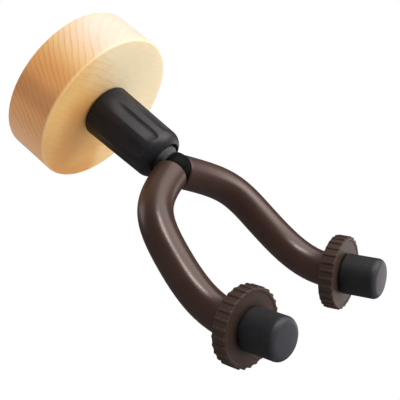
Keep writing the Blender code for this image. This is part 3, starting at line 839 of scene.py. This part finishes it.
def keyhole(x, grow=0.0):
    slot_r, entry_r = SLOT_R + grow, ENTRY_R + grow
    meet = math.asin(slot_r / entry_r)
    first, sweep = math.pi / 2 + meet, 2 * math.pi - 2 * meet
    entry = [
        (
            x + entry_r * math.cos(first + sweep * i / 40),
            ENTRY_Z + entry_r * math.sin(first + sweep * i / 40),
        )
        for i in range(41)
    ]
    top = [
        (x + slot_r * math.cos(math.pi * i / 18), SLOT_Z + slot_r * math.sin(math.pi * i / 18))
        for i in range(19)
    ]
    return entry + top


screw_spots = [(sx * PLATE_SCREW_XZ, sz * PLATE_SCREW_XZ) for sx, sz in ((-1, 1), (1, 1), (1, -1), (-1, -1))]
pockets = [
    slab(f"pocket_{side}", [stadium(side * KEYHOLE_X, ENTRY_Z, SLOT_Z, HEAD_POCKET_R)], PLATE_T - 0.5, HEAD_POCKET_F)
    for side in (-1, 1)
]
pilots = [
    slab(f"pilot_{i}", [circle(x, z, SCREW_R + GAP, 24)], 1.0, SCREW_LENGTH + 0.5)
    for i, (x, z) in enumerate(screw_spots)
]
carve(wood, *pockets, *pilots)
weld(wood, 0.01, sharp=35)
dress(wood, WOOD, "base", "wood", "wood_base")

# Wall plate: pressed zinc-plated disc with keyholes and countersinks, its edges broken.
plate = slab(
    "pressed_wall_plate", [circle(0, 0, PLATE_R, 144), keyhole(-KEYHOLE_X), keyhole(KEYHOLE_X)], 0.0, PLATE_T
)
head_depth = SCREW_HEAD_R - SCREW_R
sinks = []
for i, (sx, sz) in enumerate(screw_spots):
    sinks.append(
        turned_solid(
            f"sink_{i}",
            [
                (0.0, PLATE_T + 1.0),
                (SCREW_R + GAP, PLATE_T + 1.0),
                (SCREW_R + GAP, head_depth + 0.5),
                (SCREW_HEAD_R + GAP, 0.5),
                (SCREW_HEAD_R + GAP, -1.0),
                (0.0, -1.0),
            ],
            40,
            Matrix.Translation((sx * MM, 0, sz * MM)) @ FORWARD,
        )
    )
carve(plate, *sinks)
soften(plate, 0.16, 2, 50)
dress(plate, ZINC, "base", "zinc", "wall_plate")


# Plate screws: slotted countersunk heads and a real helical thread that runs out to the point.
def screw_mesh(name, matrix):
    around, pitch = 32, 1.35

    def flank(r, turn, h):
        if h < head_depth + 1.1:
            return np.full(len(turn), r)
        lead = min(1.0, (h - head_depth - 1.1) / 1.2)
        wave = np.abs(((h / pitch - turn / (2 * math.pi)) % 1.0) - 0.5) * 2
        crest = np.clip(1 - wave * 1.9, 0.0, 1.0)
        root = r * (0.72 + 0.28 * (1 - lead))
        return root + (r - root) * crest

    profile = [
        (0.0, 0.2),
        (SCREW_HEAD_R - 0.12, 0.2),
        (SCREW_HEAD_R, 0.3),
        (SCREW_HEAD_R, 0.5),
        (SCREW_R, head_depth + 0.5),
        (SCREW_R, SCREW_LENGTH - 3.0),
        (SCREW_R * 0.25, SCREW_LENGTH - 0.3),
        (0.0, SCREW_LENGTH),
    ]
    screw = turned_solid(name, profile, around, matrix, longest=0.17, relief=flank)
    driver = slab(name + "_slot", [[(-5, -0.4), (5, -0.4), (5, 0.4), (-5, 0.4)]], -0.8, 0.9, matrix)
    return carve(screw, driver, sharp=40)


for i, (sx, sz) in enumerate(screw_spots, 1):
    turned_to = Matrix.Rotation(math.radians((17, 64, -28, 101)[i - 1]), 4, "Z")
    spot = Matrix.Translation((sx * MM, 0, sz * MM)) @ FORWARD @ turned_to
    dress(screw_mesh(f"slotted_wood_screw_{i}", spot), STEEL, "base", "steel", f"plate_screw_{i}")

# Boot: tapered moulding with soft-edged flutes that run out before the rounded nose.
boot_back = BASE_T + GAP
shoulder_f = BOOT_FRONT_F - BOOT_FILLET
boot_outline = rounded(
    [
        (BOOT_BORE_R, boot_back, 0.15),
        (BOOT_BACK_R, boot_back, 0.9),
        (BOOT_SHOULDER_R, shoulder_f + 0.4, 0.0),
    ],
    6,
)
boot_outline += [
    (
        BOOT_SHOULDER_R - BOOT_FILLET + BOOT_FILLET * math.cos(math.radians(a)),
        shoulder_f + BOOT_FILLET * math.sin(math.radians(a)),
    )
    for a in range(6, 67, 4)
]
nose_r, nose_f = boot_outline[-1]
boot_outline += [
    (nose_r - 0.45, nose_f + 0.02),
    (BOOT_BORE_R + 0.1, nose_f - 0.35),
    (BOOT_BORE_R, nose_f - 0.8),
]


def smoothstep(value, low, high):
    t = np.clip((value - low) / (high - low), 0, 1)
    return t * t * (3 - 2 * t)


def fluted(r, turn, f):
    """The boot's radius: each flute is a soft channel with a short upper wall and a long lower one."""
    radius = np.full(len(turn), r)
    front = FLUTE_FRONT_F - f
    if r < BOOT_SHOULDER_R - 3.4 or f < boot_back + 0.1 or front <= 0:
        return radius
    narrow = math.sqrt(max(0.0, 1 - max(0.0, 1 - front / 4.6) ** 2))
    depth = 0.88 * FLUTE_DEPTH * narrow * (0.08 + 0.92 * smoothstep(f, 29.0, 42.0))
    for number in range(FLUTES):
        deepest = math.pi / 2 + math.radians(FLUTE_PHASE - 6.0 + 360 / FLUTES * number)
        off = np.degrees(np.angle(np.exp(1j * (turn - deepest))))
        share = np.where(off < 0, -off / 10.5, off / 20.0) / max(narrow, 0.3)
        radius -= depth * np.clip(1 - share**2, 0, 1) ** 1.25
    return radius


boot = lathe("fluted_boot", boot_outline, 360, longest=0.8, relief=fluted, sharp=60)
dress(boot, BLACK, "base", "black_moulding", "boot")

# Sleeves: rubber tubes with rolled ends, drawn over the rods.
for side, name in ((-1, "left"), (1, "right")):
    points, ways, at = arm_path(SLEEVE_START_S, -GAP, side)
    last = len(points) - 1
    lip = 0.75
    start_arc = [
        (0, lip - lip * math.cos(math.radians(a)), SLEEVE_R - lip + lip * math.sin(math.radians(a)))
        for a in range(0, 91, 15)
    ]
    end_arc = [
        (last, -(lip - lip * math.cos(math.radians(a))), SLEEVE_R - lip + lip * math.sin(math.radians(a)))
        for a in range(90, -1, -15)
    ]
    swell = [(i, 0.0, SLEEVE_R) for i in range(2, last - 1)]
    bore = [(0, 0.0, SLEEVE_BORE_R + 0.25), (0, 0.25, SLEEVE_BORE_R)]
    bore += [(i, 0.0, SLEEVE_BORE_R) for i in range(1, last)]
    bore += [(last, -0.25, SLEEVE_BORE_R), (last, 0.0, SLEEVE_BORE_R + 0.25)]
    sleeve = swept(f"rubber_sleeve_{name}", points, ways, start_arc + swell + end_arc, bore, 72)
    dress(sleeve, SLEEVE, "yoke", "brown_rubber", f"sleeve_{name}")

    rod_points, rod_ways, _ = arm_path(ROD_START_S, DISC_T + GAP + CAP_BORE_DEPTH - 0.5, side, 1.2)
    end = len(rod_points) - 1
    rod_rings = [(0, 0.0, ROD_R - 0.4), (0, 0.4, ROD_R)]
    rod_rings += [(i, 0.0, ROD_R) for i in range(1, end)]
    rod_rings += [(end, -0.6, ROD_R), (end, 0.0, ROD_R - 0.6)]
    rod = swept(f"bent_rod_{name}", rod_points, rod_ways, rod_rings, None, 40)
    dress(rod, STEEL, "yoke", "steel", f"arm_rod_{name}")

# Hub: neck and knuckle in one, dished where the sleeves butt against it, with a socket for each rod.
neck_back = CORE_FRONT_F + 2 * GAP + THRUST_T
hub_f = -hub_centre.y
knuckle_r = HUB_R - 0.4
waist = math.asin(5.6 / knuckle_r)
hub_profile = [(0.0, SHAFT_FRONT_F + GAP), (SHAFT_R + GAP - 0.3, SHAFT_FRONT_F + GAP), (SHAFT_R + GAP, SHAFT_FRONT_F + GAP - 0.3)]
hub_profile += [(SHAFT_R + GAP, neck_back + 0.2), (SHAFT_R + GAP + 0.2, neck_back), (NECK_R - 0.35, neck_back)]
hub_profile += [(NECK_R, neck_back + 0.35), (NECK_R, NECK_FRONT_F - 2.2), (NECK_R - 0.05, NECK_FRONT_F - 1.7)]
first = waist - math.pi / 2
hub_profile += [
    (
        knuckle_r * math.cos(first + (math.pi / 2 - first) * i / 40),
        hub_f + knuckle_r * math.sin(first + (math.pi / 2 - first) * i / 40),
    )
    for i in range(41)
]
hub_profile[-1] = (0.0, hub_f + knuckle_r)
hub = turned_solid("forged_hub", hub_profile, 128, longest=0.9)
seats = []
for side in (-1, 1):
    way = mirrored(root_way, side)
    seats.append(
        turned_solid(
            f"seat_{side}",
            [(0, 0), (SLEEVE_R + GAP, 0.0), (SLEEVE_R + GAP, 20.0), (0, 20.0)],
            96,
            pointing(hub_centre + way * (SLEEVE_START_S - GAP), way),
        )
    )
    seats.append(
        turned_solid(
            f"socket_{side}",
            [(0, 0), (SOCKET_R, 0.0), (SOCKET_R, 8.0), (0, 8.0)],
            48,
            pointing(hub_centre + way * SOCKET_S, way),
        )
    )
carve(hub, *seats, sharp=30)
weld(hub, 0.16, sharp=30)
soften(hub, 0.22, 3, 32)
settle(hub, 30)
weld(hub, 0.004, sharp=30)
dress(hub, HUB, "yoke", "blackened_steel", "yoke_hub")


# Stop discs: moulded rubber wheels with square-cut teeth, a chamfered front lip and a shallow dish inside it.
def tooth_rise(turn):
    """0 in the grooves and 1 on the teeth, with short sloping flanks."""
    phase = (turn * TEETH / (2 * math.pi)) % 1.0
    rise = np.clip((phase - 0.0) / 0.07, 0, 1)
    fall = np.clip((0.40 - phase) / 0.07, 0, 1)
    return smoothstep(np.minimum(rise, fall), 0.0, 1.0)


rim_root, rim_crest, face_r = ROOT_R + 0.4, TOOTH_R - 0.1, 16.85


def toothed(r, turn, h):
    """The rim's radius: teeth from the back edge to the front chamfer, where they run out."""
    if r < face_r + 0.05:
        return np.full(len(turn), r)
    back = smoothstep(h, 0.0, 0.45)
    front = float(np.clip((r - face_r) / (rim_root - face_r), 0, 1))
    return r + (rim_crest - rim_root) * tooth_rise(turn) * (0.3 + 0.7 * back) * front


disc_outline = rounded(
    [
        (DISC_BORE_R, 0.0, 0.3),
        (rim_root, 0.0, 0.3),
        (rim_root, DISC_T - 0.4, 0.2),
        (face_r, DISC_T, 0.2),
        (face_r - 1.0, DISC_T, 0.15),
        (face_r - 1.35, DISC_T - 0.25, 0.15),
        (DISC_BORE_R, DISC_T - 0.25, 0.3),
    ],
    4,
)
for side, name in ((-1, "left"), (1, "right")):
    way, end = mirrored(tip_way, side), mirrored(tip, side)
    disc = lathe(
        f"toothed_stop_disc_{name}", disc_outline, TEETH * 20, pointing(end, way), longest=0.3, relief=toothed, sharp=50
    )
    dress(disc, DISC, f"disc_{name}", "brown_rubber", f"stop_disc_{name}")

    cap_back = end + way * (DISC_T + GAP)
    cap_edge, cap_end = 3.0, CAP_LENGTH - 0.23  # the squarer edge still stays inside the CAD model's box
    cap_profile = [(k * 0.95, cap_end - 0.30 * (k * 0.95 / 6.9) ** 2) for k in range(7)]
    cap_profile += [
        (
            CAP_R - cap_edge + cap_edge * math.cos(math.radians(a)),
            cap_end - 0.30 - cap_edge + cap_edge * math.sin(math.radians(a)),
        )
        for a in range(82, -1, -6)
    ]
    cap_profile += [
        (CAP_R, 0.35),
        (CAP_R - 0.1, 0.1),
        (CAP_R - 0.35, 0.0),
        (CAP_SEAT_R + 0.15, 0.0),
        (CAP_SEAT_R, 0.15),
        (CAP_SEAT_R, CAP_SEAT_DEPTH),
        (ROD_R + GAP, CAP_SEAT_DEPTH),
        (ROD_R + GAP, CAP_BORE_DEPTH - 0.3),
        (ROD_R + GAP - 0.3, CAP_BORE_DEPTH),
        (0.0, CAP_BORE_DEPTH),
    ]
    cap = turned_solid(f"rubber_end_cap_{name}", cap_profile, 112, pointing(cap_back, way), longest=0.9, sharp=45)
    dress(cap, CAP, "yoke", "charcoal_rubber", f"end_cap_{name}")

# ---------------------------------------------------------------- finishes for the CAD nodes that stay

FINISH = {
    "base_bush": ZINC,
    "core_tube": TURNED,
    "swivel_shaft": TURNED,
    "thrust_washer": NYLON,
    "spring_washer": STEEL,
    "rear_washer": ZINC,
    "lock_nut": ZINC,
    "retaining_ring_left": STEEL,
    "retaining_ring_right": STEEL,
}
for node, paint in FINISH.items():
    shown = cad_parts[node]
    shown.data.materials.clear()
    shown.data.materials.append(paint)
